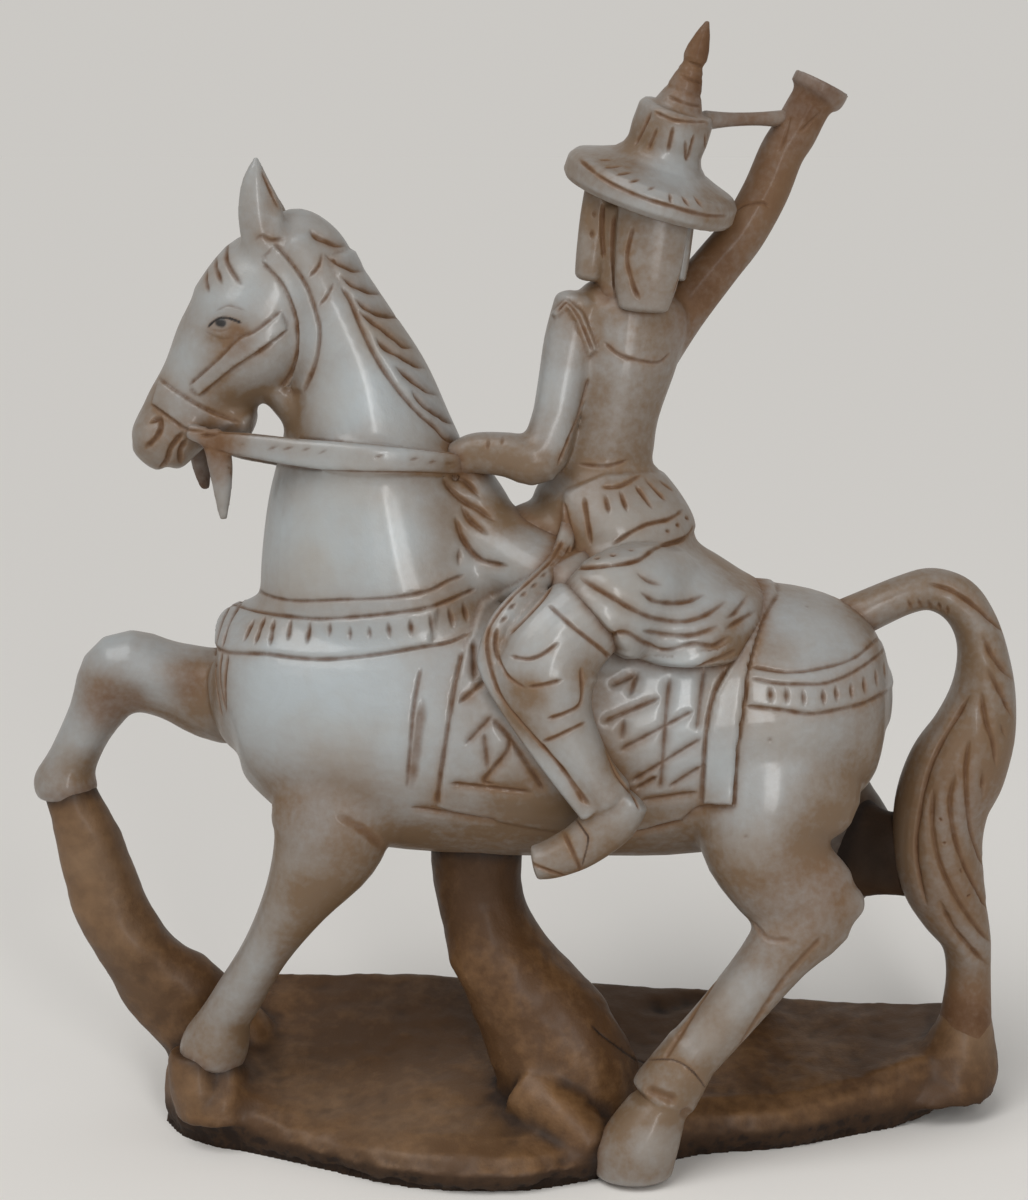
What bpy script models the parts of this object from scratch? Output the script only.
"""Carved stone horse and rider on a rock base, about 300 mm tall.

Sizes are millimetres. The horse faces -X, its left flank is at -Y and the
underside of the rock is the plane Z = 0. Each carved mass is a solid of its
own, cut back from the masses that carry it by the width of a joint.
"""

import math

import bmesh
import bpy
from mathutils import Matrix, Vector
from mathutils.bvhtree import BVHTree

MM = 0.001

# joints between the pieces
JOINT_GAP = 0.3

# trunk of the horse
TRUNK_LENGTH = 182.0
TRUNK_HEIGHT = 77.0
TRUNK_WIDTH = 68.0
BELLY_HEIGHT = 80.0
CHEST_X = -81.0

# neck, head and mane
NECK_LENGTH = 98.0
NECK_LEAN = 15.0
NECK_ROOT_DEPTH = 74.0
NECK_ROOT_WIDTH = 54.0
HEAD_LENGTH = 68.0
HEAD_DEPTH = 37.0
HEAD_WIDTH = 28.0
HEAD_DROP = 48.0
EAR_LENGTH = 23.0
EAR_WIDTH = 11.5
EAR_THICKNESS = 8.0
EAR_SPACING = 15.0
FAR_EAR_SHARE = 0.85
MANE_WIDTH = 22.0
MANE_DEPTH = 8.0
MANE_HEIGHT = 2.0

# legs and tail
FOREARM_THICKNESS = 26.0
CANNON_THICKNESS = 15.0
THIGH_THICKNESS = 46.0
LEG_WIDTH = 15.0
HOOF_WIDTH = 17.0
ANKLE_HEIGHT = 28.5
FAR_LEG_SET_BACK = 21.0
FAR_FOOT_HEIGHT = 22.0
TAIL_THICKNESS = 27.0
TAIL_REACH = 33.0

# rock base and the props left standing on it
BASE_FRONT_HEIGHT = 12.0
BASE_BACK_HEIGHT = 31.0
BASE_FRONT_REACH = 47.0
BASE_BACK_REACH = 50.0
BASE_LEFT_MARGIN = 17.0
BASE_RIGHT_MARGIN = 35.0
STUMP_THICKNESS = 26.0
PROP_THICKNESS = 16.0
BRACE_THICKNESS = 12.0
BRACE_HEIGHT = 25.0

# harness
CLOTH_THICKNESS = 2.2
CLOTH_HEM_HEIGHT = 101.0
CLOTH_MARGIN = 2.0
STRAP_THICKNESS = 1.5
COLLAR_HEIGHT = 12.0
CRUPPER_HEIGHT = 11.0
REIN_HEIGHT = 7.0
REIN_THICKNESS = 4.0
TASSEL_LENGTH = 22.0
STIRRUP_STRAP_WIDTH = 5.5
FAR_REIN_DROP = 6.5
POMMEL_WIDTH = 24.0
POMMEL_HEIGHT = 18.0

# rider
WAIST_WIDTH = 26.0
WAIST_DEPTH = 22.0
SHOULDER_WIDTH = 33.0
TORSO_HEIGHT = 52.0
SKIRT_LENGTH = 60.0
SKIRT_WIDTH = 78.0
SKIRT_SET_BACK = 9.0
ARM_THICKNESS = 12.6
CUFF_DIAMETER = 15.0
STRUT_THICKNESS = 4.0
RIDER_HEAD_HEIGHT = 30.0
RIDER_HEAD_WIDTH = 21.0
FLAP_THICKNESS = 4.0
FLAP_LENGTH = 28.0
THIGH_WIDTH = 25.0
SHIN_WIDTH = 16.0
FOOT_LENGTH = 30.0
FOOT_HEIGHT = 11.0

# hat
BRIM_DIAMETER = 46.0
BRIM_RIM_HEIGHT = 4.6
BRIM_RISE = 5.0
CROWN_FOOT_DIAMETER = 22.5
CROWN_TOP_DIAMETER = 20.0
CROWN_HEIGHT = 13.0
FINIAL_DIAMETER = 15.0
FINIAL_HEIGHT = 22.5
HAT_LEAN = 18.0
HAT_TIP = 9.0

# facets of the solids
TRUNK_SIDES = 22
LIMB_SIDES = 10
BAND_SIDES = 10
TURNED_SIDES = 18

SIDE = Vector((0, 1, 0))
LEFT, RIGHT = -1, 1

WHITE_STONE = {"colour": (0.60, 0.585, 0.55, 1), "roughness": 0.28}
BROWN_STONE = {"colour": (0.19, 0.11, 0.06, 1), "roughness": 0.55}

seniors = []


def clear_scene():
    for obj in list(bpy.data.objects):
        bpy.data.objects.remove(obj)


def stone(name, look):
    material = bpy.data.materials.new(name)
    material.use_nodes = True
    shader = material.node_tree.nodes["Principled BSDF"]
    shader.inputs["Base Color"].default_value = look["colour"]
    shader.inputs["Roughness"].default_value = look["roughness"]
    shader.inputs["Metallic"].default_value = 0.0
    return material


def smooth_path(stations, steps):
    """Stations read off a Catmull-Rom curve through the given ones."""
    rows = [Vector(station) for station in stations]
    last = len(rows) - 1
    path = []
    for i in range(last):
        before, here = rows[max(i - 1, 0)], rows[i]
        after, beyond = rows[i + 1], rows[min(i + 2, last)]
        for step in range(steps):
            t = step / steps
            path.append(
                0.5 * (2 * here + (after - before) * t
                       + (2 * before - 5 * here + 4 * after - beyond) * t * t
                       + (3 * here - before - 3 * after + beyond) * t ** 3)
            )
    path.append(rows[last])
    return path


def ring(bm, centre, half_side, half_up, along, sides, squareness):
    """One cross-section: half_side lies along Y as nearly as it can."""
    across = (SIDE - along * SIDE.dot(along)).normalized()
    upward = along.cross(across)
    frame = Matrix((across, upward, along)).transposed()
    made = bmesh.ops.create_circle(bm, segments=sides, radius=1)["verts"]
    for vert in made:
        c, s = vert.co.x, vert.co.y
        c = math.copysign(abs(c) ** (2 / squareness), c)
        s = math.copysign(abs(s) ** (2 / squareness), s)
        vert.co = centre + frame @ Vector((half_side * c, half_up * s, 0))
    return [edge for edge in bm.edges if edge.verts[0] in made and edge.verts[1] in made]


def skin_over(bm, loops):
    """Bridges the rings in turn, caps both ends and turns every face outwards."""
    for lower, upper in zip(loops, loops[1:]):
        bmesh.ops.bridge_loops(bm, edges=lower + upper)
    for loop in (loops[0], loops[-1]):
        bmesh.ops.contextual_create(bm, geom=loop)
    face_out(bm)


def face_out(bm):
    bmesh.ops.recalc_face_normals(bm, faces=bm.faces)
    if bm.calc_volume(signed=True) < 0:
        bmesh.ops.reverse_faces(bm, faces=bm.faces)
    bm.normal_update()


def loft(stations, sides=LIMB_SIDES, steps=2, squareness=2.0, blunt=0.45, facing=None):
    """A closed skin over stations (x, y, z, half_side, half_up).

    The rings stand square to the path, or all face one way when facing is given.
    The ends are rounded by one smaller ring, set out by the share blunt.
    """
    path = smooth_path(stations, steps)
    points = [Vector(row[:3]) for row in path]
    bm = bmesh.new()
    loops = []
    for i, row in enumerate(path):
        along = facing or (points[min(i + 1, len(path) - 1)] - points[max(i - 1, 0)]).normalized()
        end = -1 if i == 0 else 1 if i == len(path) - 1 else 0
        reach = blunt * min(row[3], row[4])
        if end < 0 and blunt:
            tip = points[i] - along * reach
            loops.append(ring(bm, tip, row[3] * 0.6, row[4] * 0.6, along, sides, squareness))
        loops.append(ring(bm, points[i], row[3], row[4], along, sides, squareness))
        if end > 0 and blunt:
            tip = points[i] + along * reach
            loops.append(ring(bm, tip, row[3] * 0.6, row[4] * 0.6, along, sides, squareness))
    skin_over(bm, loops)
    return bm


def turned(profile, sides=TURNED_SIDES):
    """A solid of revolution about Z through (radius, height) points, from the bottom up."""
    bm = bmesh.new()
    loops = []
    for radius, height in profile:
        verts = bmesh.ops.create_circle(bm, segments=sides, radius=radius)["verts"]
        bmesh.ops.translate(bm, verts=verts, vec=(0, 0, height))
        loops.append([edge for edge in bm.edges if set(edge.verts) <= set(verts)])
    skin_over(bm, loops)
    return bm


def slice_off(bm, point, outward):
    """Removes what lies beyond a plane and closes the cut with a flat face."""
    geometry = bm.verts[:] + bm.edges[:] + bm.faces[:]
    cut = bmesh.ops.bisect_plane(
        bm, geom=geometry, plane_co=point, plane_no=outward, clear_outer=True
    )["geom_cut"]
    edges = [item for item in cut if isinstance(item, bmesh.types.BMEdge)]
    bmesh.ops.holes_fill(bm, edges=edges)
    face_out(bm)


def add_object(name, bm, root):
    mesh = bpy.data.meshes.new(name)
    bm.to_mesh(mesh)
    mesh.transform(Matrix.Scale(MM, 4))
    obj = bpy.data.objects.new(name, mesh)
    bpy.context.scene.collection.objects.link(obj)
    obj.parent = root
    return obj


def piece(name, bm, material, root):
    """A named solid, cut back by a joint's width from every earlier piece that it meets."""
    bmesh.ops.triangulate(bm, faces=bm.faces)
    bm.normal_update()
    skin = BVHTree.FromBMesh(bm)
    obj = add_object(name, bm, root)
    obj.data.materials.append(material)
    obj.data.shade_smooth()
    obj.data.set_sharp_from_angle(angle=math.radians(50))
    for senior_skin, cutter in seniors:
        if skin.overlap(senior_skin):
            cut = obj.modifiers.new("joint with " + cutter.name[:40], "BOOLEAN")
            cut.operation = "DIFFERENCE"
            cut.solver = "EXACT"
            cut.object = cutter
    for vert in bm.verts:
        vert.co += vert.normal * JOINT_GAP
    grown = add_object("joint_of_" + name, bm, root)
    grown.hide_render = True
    grown.display_type = "WIRE"
    seniors.append((BVHTree.FromBMesh(bm), grown))
    bm.free()
    return obj


def trunk_point(along, up, side):
    """A place in the trunk's own box: chest to rump, belly to back, flank to flank."""
    return Vector((
        CHEST_X + along * TRUNK_LENGTH,
        side * TRUNK_WIDTH / 2,
        BELLY_HEIGHT + up * TRUNK_HEIGHT,
    ))


def from_point(origin, rows):
    """Stations measured from a point."""
    return [(*(origin + Vector(row[:3])), row[3], row[4]) for row in rows]


def trunk_skin(extra):
    """The barrel from chest to rump, let out by extra all round."""
    profile = (
        (0.000, 0.600, 0.090, 0.17), (0.016, 0.600, 0.210, 0.42), (0.050, 0.600, 0.325, 0.66),
        (0.115, 0.570, 0.415, 0.86), (0.220, 0.530, 0.480, 0.97), (0.385, 0.505, 0.500, 1.00),
        (0.550, 0.500, 0.500, 1.00), (0.710, 0.500, 0.490, 0.99), (0.850, 0.540, 0.430, 0.97),
        (0.930, 0.555, 0.360, 0.82), (0.970, 0.560, 0.265, 0.60), (0.990, 0.560, 0.110, 0.24),
    )
    rows = []
    for along, middle, half_height, half_width in profile:
        out = extra * (-1 if along == 0 else 1 if along == profile[-1][0] else 0)
        centre = trunk_point(along, middle, 0) + Vector((out, 0, 0))
        rows.append((
            *centre,
            half_width * TRUNK_WIDTH / 2 + extra,
            half_height * TRUNK_HEIGHT + extra,
        ))
    return loft(rows, TRUNK_SIDES, blunt=0.2)


def neck_frame():
    """Root of the neck, the way it points and the way its crest bows out."""
    lean = math.radians(NECK_LEAN)
    root = trunk_point(0.266, 0.92, 0)
    return root, Vector((-math.sin(lean), 0, math.cos(lean))), Vector((math.cos(lean), 0, math.sin(lean)))


def neck_stations():
    root, along, crest = neck_frame()
    profile = (
        (-0.18, 0.010, 0.98, 0.96), (0.00, 0.000, 0.97, 1.00), (0.10, 0.000, 0.90, 0.98),
        (0.27, 0.018, 0.765, 0.88), (0.435, 0.046, 0.61, 0.76), (0.58, 0.062, 0.48, 0.66),
        (0.73, 0.054, 0.36, 0.56), (0.89, 0.027, 0.28, 0.46), (0.985, 0.000, 0.22, 0.38),
    )
    return [
        (*(root + along * NECK_LENGTH * t + crest * NECK_LENGTH * bow),
         width * NECK_ROOT_WIDTH / 2, depth * NECK_ROOT_DEPTH / 2)
        for t, bow, depth, width in profile
    ]


def head_frame():
    """Poll of the horse, the way the face points and the way the forehead looks."""
    root, along, crest = neck_frame()
    drop = math.radians(HEAD_DROP)
    poll = root + along * NECK_LENGTH * 0.95 + crest * NECK_LENGTH * 0.007
    return poll, Vector((-math.cos(drop), 0, -math.sin(drop))), Vector((-math.sin(drop), 0, math.cos(drop)))


def head_point(along, up, side):
    poll, face, brow = head_frame()
    return (poll + face * HEAD_LENGTH * along + brow * HEAD_DEPTH * up
            + SIDE * HEAD_WIDTH / 2 * side)


def head_skin():
    profile = (
        (0.00, 0.00, 0.25, 0.66), (0.12, 0.01, 0.44, 0.90), (0.32, -0.07, 0.50, 1.00),
        (0.48, -0.07, 0.42, 0.93), (0.64, -0.08, 0.315, 0.72), (0.79, -0.10, 0.285, 0.68),
        (0.93, -0.115, 0.235, 0.62), (1.00, -0.125, 0.15, 0.46),
    )
    rows = [
        (*head_point(along, up, 0), width * HEAD_WIDTH / 2, depth * HEAD_DEPTH)
        for along, up, depth, width in profile
    ]
    return loft(rows, 16, blunt=0.35)


def ear_skin(side):
    foot = head_point(0.03, 0.30, 0) + SIDE * side * EAR_SPACING / 2
    tall = EAR_LENGTH if side == LEFT else FAR_EAR_SHARE * EAR_LENGTH
    rows = [
        (2.0, 0, -0.32, 0.75, 0.80), (1.2, 0, -0.05, 1.00, 1.00), (0, 0.4, 0.32, 0.92, 0.96),
        (-1.4, 0.8, 0.62, 0.62, 0.62), (-1.8, 0.9, 0.85, 0.22, 0.22),
    ]
    return loft([
        (foot.x + dx, foot.y + side * dy, foot.z + up * tall,
         thick * EAR_THICKNESS / 2, width * EAR_WIDTH / 2)
        for dx, dy, up, thick, width in rows
    ], 10)


def mane_skin():
    """A crest cap that follows the back of the neck from the poll to the withers."""
    neck = neck_stations()[1:]
    points = [Vector(station[:3]) for station in neck]
    rows = []
    for i, share in enumerate((0.80, 0.85, 0.92, 1.0, 1.0, 0.95, 0.85, 0.70)):
        along = (points[min(i + 1, len(points) - 1)] - points[max(i - 1, 0)]).normalized()
        crest = SIDE.cross(along)
        centre = points[i] + crest * (neck[i][4] - 0.5 * MANE_DEPTH)
        rows.append((*centre, share * MANE_WIDTH / 2, 0.5 * MANE_DEPTH + MANE_HEIGHT))
    return loft(rows, 12)


def left_foreleg_skin():
    elbow = trunk_point(0.185, 0.13, -0.55)
    ground = BELLY_HEIGHT
    rows = [
        (4, 4, 0.30 * ground, 0.95, 1.20), (0, 0, 0, 0.95, 1.00), (-8, 2, -0.175 * ground, 0.75, 0.72),
        (-17, 5, -0.41 * ground, 0.60, 0.53), (-26.5, 8, -0.61 * ground, 0.58, 0.50),
        (-33, 10, -0.745 * ground, 0.68, 0.67), (-35.5, 10.5, -0.81 * ground, 0.68, 0.64),
        (-37, 11, -0.88 * ground, 0.62, 0.56),
    ]
    return loft([
        (elbow.x + dx, elbow.y + dy, elbow.z + dz,
         wide * FOREARM_THICKNESS / 2, deep * FOREARM_THICKNESS / 2)
        for dx, dy, dz, wide, deep in rows
    ])


def right_foreleg_stations():
    shoulder = trunk_point(0.005, 0.53, 0.35)
    thick = FOREARM_THICKNESS / 2
    return from_point(shoulder, [
        (18, -2, 1, 0.85 * thick, 1.1 * thick), (0, 0, 0, 0.85 * thick, 1.02 * thick),
        (-15, 0, 4.5, 0.75 * thick, 0.83 * thick), (-27.5, 0, 6, 0.70 * thick, 0.90 * thick),
        (-36, 0, -6, 0.56 * thick, 0.56 * thick), (-42, 0, -17.5, 0.54 * thick, 0.52 * thick),
        (-44.5, 0, -26, 0.66 * thick, 0.68 * thick),
    ])


def hind_leg_stations(side, behind, foot_height):
    """From the haunch to just above the fetlock; behind sets the whole leg further back."""
    hip = trunk_point(0.82, 0.30, 0.60 * side)
    thick, cannon, wide = THIGH_THICKNESS / 2, CANNON_THICKNESS / 2, LEG_WIDTH / 2
    ground = BELLY_HEIGHT
    rows = [
        (2 + 0.2 * behind, -6, 0.22 * ground, 2.0 * wide, 0.90 * thick),
        (0 + 0.4 * behind, 0, 0, 2.05 * wide, 1.02 * thick),
        (-1.5 + 0.6 * behind, 4, -0.15 * ground, 1.7 * wide, 0.80 * thick),
        (5.5 + 0.7 * behind, 5.2, -0.28 * ground, 1.45 * wide, 0.76 * thick),
        (10 + 0.8 * behind, 6.2, -0.38 * ground, 1.25 * wide, 2.0 * cannon),
        (1.5 + behind, 8.5, -0.53 * ground, 1.05 * wide, 1.22 * cannon),
        (-12 + behind, 10.5, -0.74 * ground, 1.0 * wide, 1.05 * cannon),
    ]
    stations = [
        (hip.x + dx, hip.y + side * dy, hip.z + dz, across, deep)
        for dx, dy, dz, across, deep in rows
    ]
    foot = (hip.x - 26 + behind, side * 0.7 * BASE_FRONT_REACH, foot_height)
    stations.append((*foot, wide, cannon * 1.02))
    return stations


def left_hoof_stations():
    ankle = Vector(hind_leg_stations(LEFT, 0, ANKLE_HEIGHT)[-1][:3])
    wide, hoof = LEG_WIDTH / 2, HOOF_WIDTH / 2
    return from_point(ankle + Vector((-0.3, 0, -0.5)), [
        (0, 0, 0, wide, 1.02 * wide), (-3, -0.5, -5, 1.08 * wide, 1.12 * wide),
        (-5, -1, -10, 0.86 * hoof, 0.84 * hoof), (-8.5, -2.5, -16, hoof, 1.05 * hoof),
        (-11.5, -3, -22.5, 1.08 * hoof, 1.2 * hoof), (-12, -3, -25.5, 1.0 * hoof, 1.12 * hoof),
    ])


def tail_stations():
    dock = trunk_point(0.945, 0.83, 0.09)
    thick = TAIL_THICKNESS / 2
    far = TAIL_REACH
    ground = BELLY_HEIGHT
    return from_point(dock, [
        (-5, 0, -2, 0.50 * thick, 0.46 * thick), (5, 0, 2.8, 0.46 * thick, 0.42 * thick),
        (0.45 * far, 1, 6.9, 0.46 * thick, 0.40 * thick), (0.67 * far, 2, 8.1, 0.48 * thick, 0.43 * thick),
        (0.88 * far, 2, 5.4, 0.52 * thick, 0.46 * thick), (1.02 * far, 2, -0.8, 0.55 * thick, 0.45 * thick),
        (1.10 * far, 2, -9, 0.60 * thick, 0.50 * thick), (1.12 * far, 2.5, -20, 0.68 * thick, 0.65 * thick),
        (1.06 * far, 3, -31.5, 0.78 * thick, 0.85 * thick), (0.94 * far, 4, -42, 0.88 * thick, 1.00 * thick),
        (0.83 * far, 5, -52, 0.92 * thick, 0.96 * thick), (0.80 * far, 5, -63, 0.90 * thick, 0.91 * thick),
        (0.85 * far, 5, -74, 0.84 * thick, 0.86 * thick), (0.95 * far, 5.5, -83, 0.74 * thick, 0.72 * thick),
        (1.07 * far, 6, -92, 0.60 * thick, 0.52 * thick), (1.11 * far, 7, -102, 0.50 * thick, 0.46 * thick),
        (1.11 * far, 8, -1.42 * ground, 0.55 * thick, 0.52 * thick),
        (1.08 * far, 8, -1.60 * ground, 0.70 * thick, 0.65 * thick),
    ])


def base_skin():
    """A long boulder, low along the front and higher along the back, flat underneath."""
    left = CHEST_X - BASE_LEFT_MARGIN
    length = TRUNK_LENGTH + BASE_LEFT_MARGIN + BASE_RIGHT_MARGIN
    outline = (
        (0.00, -0.06, 0.50, 1.30, 0.60), (0.025, 0.18, 0.70, 1.75, 0.90), (0.07, 0.36, 0.84, 1.85, 1.05),
        (0.11, 0.44, 0.90, 1.30, 1.06), (0.19, 0.66, 0.96, 0.95, 1.03), (0.30, 0.95, 0.98, 1.00, 1.00),
        (0.415, 1.00, 1.00, 1.00, 0.97), (0.485, 0.90, 1.00, 1.08, 0.94), (0.555, 0.71, 1.00, 1.15, 0.90),
        (0.635, 0.48, 1.00, 1.17, 0.84), (0.735, 0.38, 0.98, 1.17, 0.78), (0.84, 0.14, 0.92, 1.30, 0.74),
        (0.93, -0.04, 0.86, 1.60, 0.74), (0.98, -0.12, 0.78, 1.70, 0.72), (1.00, -0.20, 0.66, 1.40, 0.60),
    )
    bm = bmesh.new()
    loops = []
    below = -3.0
    for along, front_reach, back_reach, front_rise, back_rise in outline:
        x = left + along * length
        front, back = -front_reach * BASE_FRONT_REACH, back_reach * BASE_BACK_REACH
        low, high = front_rise * BASE_FRONT_HEIGHT, back_rise * BASE_BACK_HEIGHT
        depth = back - front
        section = [
            (front + 0.06 * depth, below), (front + 0.02 * depth, 0.2 * low), (front, 0.6 * low),
            (front + 0.05 * depth, low), (front + 0.25 * depth, low + 0.12 * (high - low)),
            (front + 0.50 * depth, low + 0.38 * (high - low)), (front + 0.72 * depth, low + 0.80 * (high - low)),
            (front + 0.86 * depth, high), (front + 0.95 * depth, 0.86 * high),
            (back, 0.5 * high), (back - 0.02 * depth, 0.15 * high), (back - 0.06 * depth, below),
        ]
        verts = [bm.verts.new((x, y, z)) for y, z in section]
        loops.append([bm.edges.new((verts[i - 1], verts[i])) for i in range(len(verts))])
    skin_over(bm, loops)
    slice_off(bm, (0, 0, 0), (0, 0, -1))
    return bm


def stump_skin():
    belly = trunk_point(0.388, 0, 0)
    thick = STUMP_THICKNESS / 2
    ground = BELLY_HEIGHT
    return loft(from_point(belly, [
        (0.5, 0, 6, 0.95 * thick, 1.0 * thick), (0.7, -1, -0.11 * ground, 0.93 * thick, 0.93 * thick),
        (3.4, -4, -0.24 * ground, 0.98 * thick, 0.98 * thick), (8, -7, -0.34 * ground, 1.0 * thick, 1.16 * thick),
        (15.5, -10, -0.46 * ground, 1.04 * thick, 1.42 * thick),
        (23, -13, -0.65 * ground, 1.08 * thick, 1.52 * thick), (27, -14, -0.82 * ground, 1.1 * thick, 1.55 * thick),
        (27, -14, -0.93 * ground, 1.1 * thick, 1.5 * thick),
    ]), 14, 1, blunt=0, facing=Vector((0, 0, -1)))


def prop_skin():
    hoof = Vector(right_foreleg_stations()[-1][:3])
    thick = PROP_THICKNESS / 2
    ground = BELLY_HEIGHT
    return loft(from_point(hoof, [
        (1, -1, 1, 0.85 * thick, 0.88 * thick), (5, -1, -0.13 * ground, 1.0 * thick, 1.08 * thick),
        (8, -1, -0.27 * ground, 1.05 * thick, 1.22 * thick), (11.5, -1, -0.42 * ground, 1.1 * thick, 1.40 * thick),
        (15.5, -1, -0.56 * ground, 1.2 * thick, 1.66 * thick), (20.5, 0, -0.67 * ground, 1.25 * thick, 2.10 * thick),
        (26, 1, -0.78 * ground, 1.3 * thick, 2.50 * thick), (30, 1, -0.88 * ground, 1.3 * thick, 2.50 * thick),
        (33, 1, -1.02 * ground, 1.3 * thick, 2.25 * thick),
    ]), 12, 1, blunt=0, facing=Vector((0, 0, -1)))


def trunk_band(thickness, planes):
    """A strap or cloth that lies on the trunk, trimmed by planes (point, outward)."""
    bm = trunk_skin(thickness)
    for point, outward in planes:
        slice_off(bm, point, outward)
    return bm


def cloth_edges():
    """Planes of the saddle cloth's front and back edges, both leaning with its straps."""
    front = trunk_point(0.320, 0.70, 0)
    rear = seat_point() + Vector((SKIRT_SET_BACK + SKIRT_LENGTH / 2 + CLOTH_MARGIN, 0, 0))
    return (front, Vector((-1, 0, 0.167))), (rear, Vector((1, 0, -0.185)))


def rein_skin(side):
    bit = head_point(0.72, -0.26, 0.72 * side)
    root, along, crest = neck_frame()
    neck_half = NECK_ROOT_WIDTH / 2 * side
    low = root + along * NECK_LENGTH * 0.42
    drop = 0.0 if side == LEFT else FAR_REIN_DROP
    rows = [
        (*(bit + Vector((-3, 0, 1.0))),), (*(bit + Vector((7, side * 2.5, 0.5 - 0.6 * drop))),),
        (low.x - 17, 0.68 * neck_half, low.z + 2.2 - drop), (low.x - 4, 0.82 * neck_half, low.z + 0.8),
        (low.x + 10, 0.80 * neck_half, low.z - 0.2), (low.x + 24, 0.60 * neck_half, low.z - 1.4),
        (low.x + 32, 0.34 * neck_half, low.z - 2.6),
    ]
    return loft([(*row, REIN_THICKNESS / 2, REIN_HEIGHT / 2) for row in rows], BAND_SIDES, 1, 3.2)


def tassel_skin(side):
    bit = head_point(0.72, -0.36, 0.72 * side)
    set_back = 0.0 if side == LEFT else -4.5
    length = TASSEL_LENGTH if side == LEFT else 0.7 * TASSEL_LENGTH
    return loft(from_point(bit + Vector((set_back, side * 0.8, 0)), [
        (-1.5, 0, 2, 2.2, 3.6), (0, 0, -0.12 * length, 2.6, 4.0), (1.2, 0, -0.50 * length, 2.4, 3.4),
        (1.6, 0, -0.92 * length, 1.4, 1.6),
    ]), 10)


def seat_point():
    return trunk_point(0.60, 1.0, 0)


def pommel_skin():
    """The raised front of the saddle, between the withers and the rider's lap."""
    front = trunk_point(0.41, 1.0, 0)
    half_y, half_z = POMMEL_WIDTH / 2, POMMEL_HEIGHT / 2
    return loft(from_point(front, [
        (0, 0, 3, 0.75 * half_y, 0.60 * half_z), (6, 0, 6, 0.92 * half_y, 0.85 * half_z),
        (14, 0, 8, half_y, half_z), (23, 0, 10, half_y, half_z),
    ]), 12)


def waist_point():
    return seat_point() + Vector((-4, 0, 29))


def skirt_skin():
    """The draped cloth that falls over the saddle on both sides."""
    seat = seat_point()
    half_x, half_y = SKIRT_LENGTH / 2, SKIRT_WIDTH / 2
    return loft(from_point(seat, [
        (15, 0, -17, 0.99 * half_y, 0.62 * half_x), (12, 0, -9, 0.97 * half_y, 0.88 * half_x),
        (SKIRT_SET_BACK, 0, -1, 0.88 * half_y, 0.96 * half_x), (4, 0, 6, 0.72 * half_y, 0.80 * half_x),
        (1, 0, 12, 0.56 * half_y, 0.64 * half_x), (-2, 0, 20, 0.38 * half_y, 0.50 * half_x),
    ]), 20, blunt=0, facing=Vector((0, 0, 1)))


def peplum_skin():
    """The short pleated tier below the belt."""
    waist = waist_point()
    half_x, half_y = WAIST_WIDTH / 2, WAIST_DEPTH / 2
    return loft(from_point(waist, [
        (6, 0, -24, 2.0 * half_y, 1.70 * half_x), (4.5, 0, -17, 1.88 * half_y, 1.62 * half_x),
        (2.5, 0, -9, 1.55 * half_y, 1.36 * half_x), (0.5, 0, -1, 1.12 * half_y, 1.04 * half_x),
    ]), 18, blunt=0, facing=Vector((0, 0, 1)))


def torso_stations():
    waist = waist_point()
    half_x, half_y, shoulder = WAIST_WIDTH / 2, WAIST_DEPTH / 2, SHOULDER_WIDTH / 2
    tall = TORSO_HEIGHT
    return from_point(waist, [
        (0, 0, -5, 0.92 * half_y, 0.92 * half_x), (0, 0, 0.05 * tall, 1.0 * half_y, 0.98 * half_x),
        (2, 0, 0.30 * tall, 1.05 * half_y, 0.95 * half_x), (4, 0, 0.56 * tall, 1.08 * half_y, 0.90 * shoulder),
        (5.5, 0, 0.78 * tall, 1.0 * half_y, 0.98 * shoulder), (6, 0, 0.89 * tall, 0.78 * half_y, 0.76 * shoulder),
        (6.5, 0, 0.97 * tall, 0.58 * half_y, 0.42 * shoulder), (7, 0, 1.10 * tall, 0.54 * half_y, 0.38 * shoulder),
    ])


def neck_of_rider():
    return Vector(torso_stations()[-1][:3])


def rider_head_skin():
    throat = neck_of_rider()
    wide, tall = RIDER_HEAD_WIDTH / 2, RIDER_HEAD_HEIGHT
    return loft(from_point(throat, [
        (-1, 3, -0.20 * tall, 0.62 * wide, 0.45 * wide), (-0.5, 2, 0.02 * tall, 0.95 * wide, 0.80 * wide),
        (0, 1, 0.28 * tall, 1.06 * wide, 0.98 * wide), (1.5, 0, 0.55 * tall, 1.04 * wide, 1.0 * wide),
        (3, 0, 0.74 * tall, 0.85 * wide, 0.84 * wide),
    ]), 14)


def hat_matrix():
    """Places a turned hat piece on the head: leaning back and tipped to the left flank."""
    throat = neck_of_rider()
    crown_centre = throat + Vector((4, -1, 0.50 * RIDER_HEAD_HEIGHT))
    lean = Matrix.Rotation(math.radians(HAT_LEAN), 4, "Y")
    tip = Matrix.Rotation(math.radians(HAT_TIP), 4, "X")
    return Matrix.Translation(crown_centre) @ lean @ tip


def hat_skin(profile):
    bm = turned(profile)
    bmesh.ops.transform(bm, matrix=hat_matrix(), verts=bm.verts)
    return bm


def brim_profile():
    rim, foot = BRIM_DIAMETER / 2, CROWN_FOOT_DIAMETER / 2
    return [
        (0.86 * rim, 0.2), (0.97 * rim, 0), (rim, 0.35 * BRIM_RIM_HEIGHT), (0.985 * rim, 0.8 * BRIM_RIM_HEIGHT),
        (0.93 * rim, BRIM_RIM_HEIGHT), (0.5 * (rim + foot), BRIM_RIM_HEIGHT + 0.3 * BRIM_RISE),
        (foot, BRIM_RIM_HEIGHT + BRIM_RISE),
    ]


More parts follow.
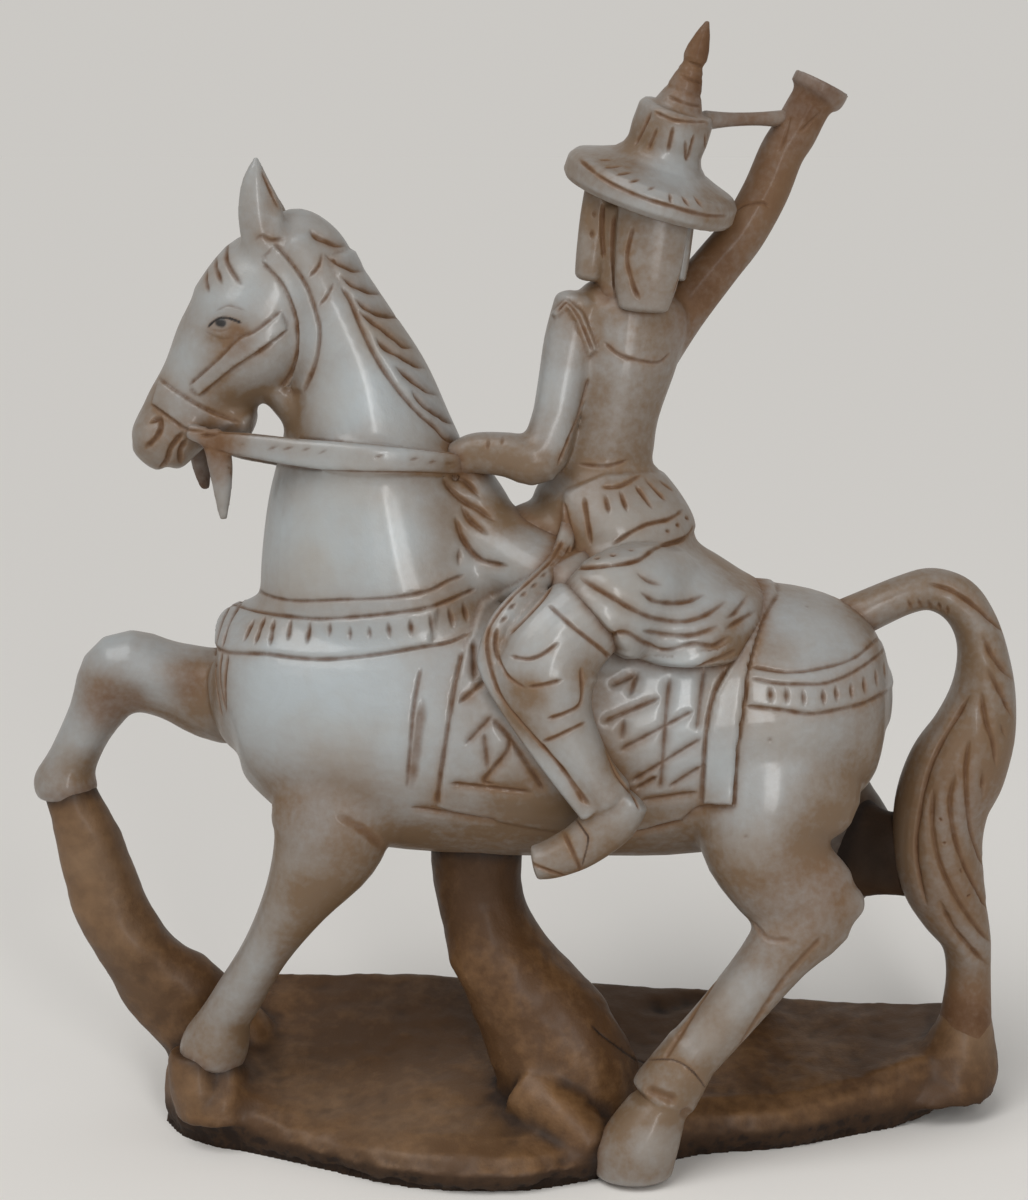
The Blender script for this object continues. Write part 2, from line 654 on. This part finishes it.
def crown_profile():
    foot, top = CROWN_FOOT_DIAMETER / 2, CROWN_TOP_DIAMETER / 2
    start = BRIM_RIM_HEIGHT + BRIM_RISE + JOINT_GAP
    return [
        (foot, start), (0.88 * foot, start + 0.2 * CROWN_HEIGHT), (1.02 * top, start + 0.5 * CROWN_HEIGHT),
        (top, start + 0.9 * CROWN_HEIGHT), (0.9 * top, start + CROWN_HEIGHT),
    ]


def finial_profile():
    """Two stacked rings and a slender bud."""
    wide, tall = FINIAL_DIAMETER / 2, FINIAL_HEIGHT
    start = BRIM_RIM_HEIGHT + BRIM_RISE + CROWN_HEIGHT + 2 * JOINT_GAP
    shape = (
        (0.95, 0.00), (1.00, 0.06), (0.86, 0.17), (0.74, 0.20), (0.76, 0.26), (0.60, 0.36), (0.52, 0.40),
        (0.50, 0.48), (0.36, 0.54), (0.42, 0.60), (0.40, 0.70), (0.24, 0.86), (0.08, 1.00),
    )
    return [(wide * radius, start + tall * height) for radius, height in shape]


def flap_skin(offset, half_wide, half_thick, length):
    """A hanging flap of the helmet: a flat slab with round corners, rising into the brim."""
    throat = neck_of_rider() + Vector(offset)
    return loft(from_point(throat, [
        (-1.0, 0, -0.42 * length, half_thick, 0.92 * half_wide), (-0.2, 0, -0.2 * length, half_thick, half_wide),
        (1.0, 0, 0.20 * length, half_thick, 0.98 * half_wide), (2.5, 0, 0.62 * length, half_thick, 0.92 * half_wide),
    ]), BAND_SIDES, squareness=3.4, blunt=0.3)


def left_arm_skin():
    shoulder = Vector(torso_stations()[4][:3]) + Vector((-0.82 * SHOULDER_WIDTH / 2, -3, 1))
    thick = ARM_THICKNESS / 2
    return loft(from_point(shoulder, [
        (0.5, 0, 2, 1.0 * thick, 1.0 * thick), (-1.5, -1.5, -8, 1.06 * thick, 1.1 * thick),
        (-4, -4, -20, 1.0 * thick, 0.98 * thick), (-6, -5.5, -29, 0.95 * thick, 0.95 * thick),
        (-9.8, -8, -38, 0.95 * thick, 1.05 * thick), (-18, -8, -36.8, 0.92 * thick, 0.92 * thick),
        (-27, -6, -36.5, 0.82 * thick, 0.85 * thick),
    ]), steps=1)


def right_arm_stations():
    shoulder = Vector(torso_stations()[4][:3]) + Vector((0.62 * SHOULDER_WIDTH / 2, 4, -4))
    thick, cuff = ARM_THICKNESS / 2, CUFF_DIAMETER / 2
    return from_point(shoulder, [
        (-4, 0, -8, 1.0 * thick, 1.15 * thick), (4, 2, 4, 1.0 * thick, 1.12 * thick),
        (17, 6, 21, 1.0 * thick, 1.02 * thick), (27.5, 8, 37, 1.0 * thick, 1.05 * thick),
        (34, 8, 50, 0.86 * thick, 0.86 * thick), (37.5, 8, 56, 0.95 * thick, 0.98 * thick),
        (40.5, 8, 60.5, cuff, cuff), (41.5, 8, 62.5, cuff, cuff),
    ])


def strut_skin():
    crown = hat_matrix() @ Vector((0, 0, crown_profile()[3][1] - 1.0))
    arm = Vector(right_arm_stations()[4][:3])
    half = STRUT_THICKNESS / 2
    return loft([
        (*crown.lerp(arm, share), half * swell, half * swell)
        for share, swell in ((0.25, 1.3), (0.45, 1.0), (0.7, 0.95), (0.95, 1.3))
    ], 10)


def leg_stations(side):
    hip = seat_point() + Vector((-6, side * 0.96 * SKIRT_WIDTH / 2, 0))
    thigh, shin = THIGH_WIDTH / 2, SHIN_WIDTH / 2
    return from_point(hip, [
        (3, -side * 3, -2, 7.0, 0.84 * thigh), (-8, 0, -9, 8.3, 1.02 * thigh),
        (-14, side * 1.5, -20, 8.2, 1.0 * thigh), (-8, side * 1.5, -34, 7.6, 1.1 * shin),
        (-2, side * 1.5, -45, 7.0, 1.05 * shin), (2, side * 1.5, -52, 6.4, 0.95 * shin),
    ])


def foot_skin(side):
    ankle = Vector(leg_stations(side)[-1][:3])
    long, tall = FOOT_LENGTH, FOOT_HEIGHT / 2
    return loft(from_point(ankle, [
        (0.20 * long, 0, 0.02 * long, 6.0, 0.90 * tall), (0.04 * long, 0, -0.17 * long, 6.2, 1.20 * tall),
        (-0.22 * long, 0, -0.39 * long, 5.8, 1.10 * tall), (-0.46 * long, 0, -0.51 * long, 5.4, 0.95 * tall),
        (-0.62 * long, 0, -0.55 * long, 4.6, 0.82 * tall),
    ]), blunt=0.2)


def stirrup_strap_skin(side):
    hip = Vector(leg_stations(side)[0][:3])
    half = STIRRUP_STRAP_WIDTH / 2
    path = [
        (-12, side * 0.5, 17), (-15, side * 2, 10), (-23, side * 3.5, 1), (-30, side * 4.5, -8),
        (-31.5, side * 5, -15), (-26, side * 6, -25), (-16, side * 8, -39), (-6, side * 8.5, -52),
    ]
    return loft(from_point(hip, [(*point, 0.75 * half, half) for point in path]), BAND_SIDES, 1, 2.6)


def build():
    clear_scene()
    seniors.clear()
    root = bpy.data.objects.new("statue_origin", None)
    bpy.context.scene.collection.objects.link(root)
    white = stone("white_stone", WHITE_STONE)
    brown = stone("brown_stone", BROWN_STONE)

    def carve(name, bm, material=white):
        piece(name, bm, material, root)

    # rock and trunk first: they carry the rest
    carve("base_rock", base_skin(), brown)
    carve("horse_trunk", trunk_skin(0))

    # head, neck and mane
    carve("horse_head", head_skin())
    carve("horse_neck", loft(neck_stations(), 16))
    carve("left_ear", ear_skin(LEFT))
    carve("right_ear", ear_skin(RIGHT))
    carve("mane", mane_skin())

    # harness that lies on the trunk
    front_edge, rear_edge = cloth_edges()
    hem = Vector((0, 0, CLOTH_HEM_HEIGHT))
    carve("saddle_cloth", trunk_band(CLOTH_THICKNESS, [front_edge, rear_edge, (hem, Vector((0, 0, -1)))]))
    collar_top = trunk_point(0.115, 0.89, 0)
    tilt = Vector((-0.06, 0, 1)).normalized()
    behind_collar = (front_edge[0] + Vector((-1.0, 0, 0)), -front_edge[1])
    carve("breast_collar", trunk_band(STRAP_THICKNESS, [
        (collar_top, tilt), (collar_top - tilt * COLLAR_HEIGHT, -tilt), behind_collar,
    ]))
    crupper_top = trunk_point(0.9, 0.75, 0)
    up = Vector((0, 0, 1))
    behind_cloth = (rear_edge[0] + Vector((1.0, 0, 0)), -rear_edge[1])
    carve("crupper_strap", trunk_band(STRAP_THICKNESS, [
        (crupper_top, up), (crupper_top - up * CRUPPER_HEIGHT, -up), behind_cloth,
    ]))

    # legs, tail and the props that carry them
    carve("left_foreleg", left_foreleg_skin())
    carve("right_foreleg", loft(right_foreleg_stations()))
    carve("left_hind_leg", loft(hind_leg_stations(LEFT, 0, ANKLE_HEIGHT), 12, 1, blunt=0))
    carve("left_hind_hoof", loft(left_hoof_stations(), blunt=0))
    carve("right_hind_leg", loft(hind_leg_stations(RIGHT, FAR_LEG_SET_BACK, FAR_FOOT_HEIGHT), 12, 1))
    carve("tail", loft(tail_stations(), 12, 1))
    carve("foreleg_prop", prop_skin(), brown)
    carve("belly_stump", stump_skin(), brown)
    hock = Vector(hind_leg_stations(RIGHT, FAR_LEG_SET_BACK, FAR_FOOT_HEIGHT)[4][:3])
    tail_side = Vector(tail_stations()[11][:3])
    carve("tail_brace", loft([
        (*hock.lerp(tail_side, share), BRACE_THICKNESS / 2, BRACE_HEIGHT / 2) for share in (0.1, 0.4, 0.7, 1.0)
    ]), brown)

    # rider, from the saddle up
    carve("rider_skirt", skirt_skin())
    carve("rider_peplum", peplum_skin())
    carve("rider_torso", loft(torso_stations(), 14))
    carve("saddle_pommel", pommel_skin())
    carve("hat_brim", hat_skin(brim_profile()))
    carve("hat_crown", hat_skin(crown_profile()))
    carve("hat_finial", hat_skin(finial_profile()))
    carve("rider_head", rider_head_skin())
    carve("right_arm", loft(right_arm_stations(), blunt=0))
    carve("left_arm", left_arm_skin())
    half_head = RIDER_HEAD_WIDTH / 2
    half_flap = FLAP_THICKNESS / 2
    carve("back_flap", flap_skin((3, -half_head - 2, -2), 9.5, half_flap, FLAP_LENGTH))
    carve("left_flap", flap_skin((-half_head - 1.3, -4, 4), 1.95 * half_flap, 4.2, 0.85 * FLAP_LENGTH))
    carve("right_flap", flap_skin((half_head + 2.5, 1, 3), half_flap, 7.5, 0.85 * FLAP_LENGTH))
    carve("arm_strut", strut_skin())
    for word, side in (("left", LEFT), ("right", RIGHT)):
        carve(word + "_leg", loft(leg_stations(side), 12))
        carve(word + "_foot", foot_skin(side))
        carve(word + "_stirrup_strap", stirrup_strap_skin(side))
        carve(word + "_rein", rein_skin(side))
        carve(word + "_bit_tassel", tassel_skin(side))


build()
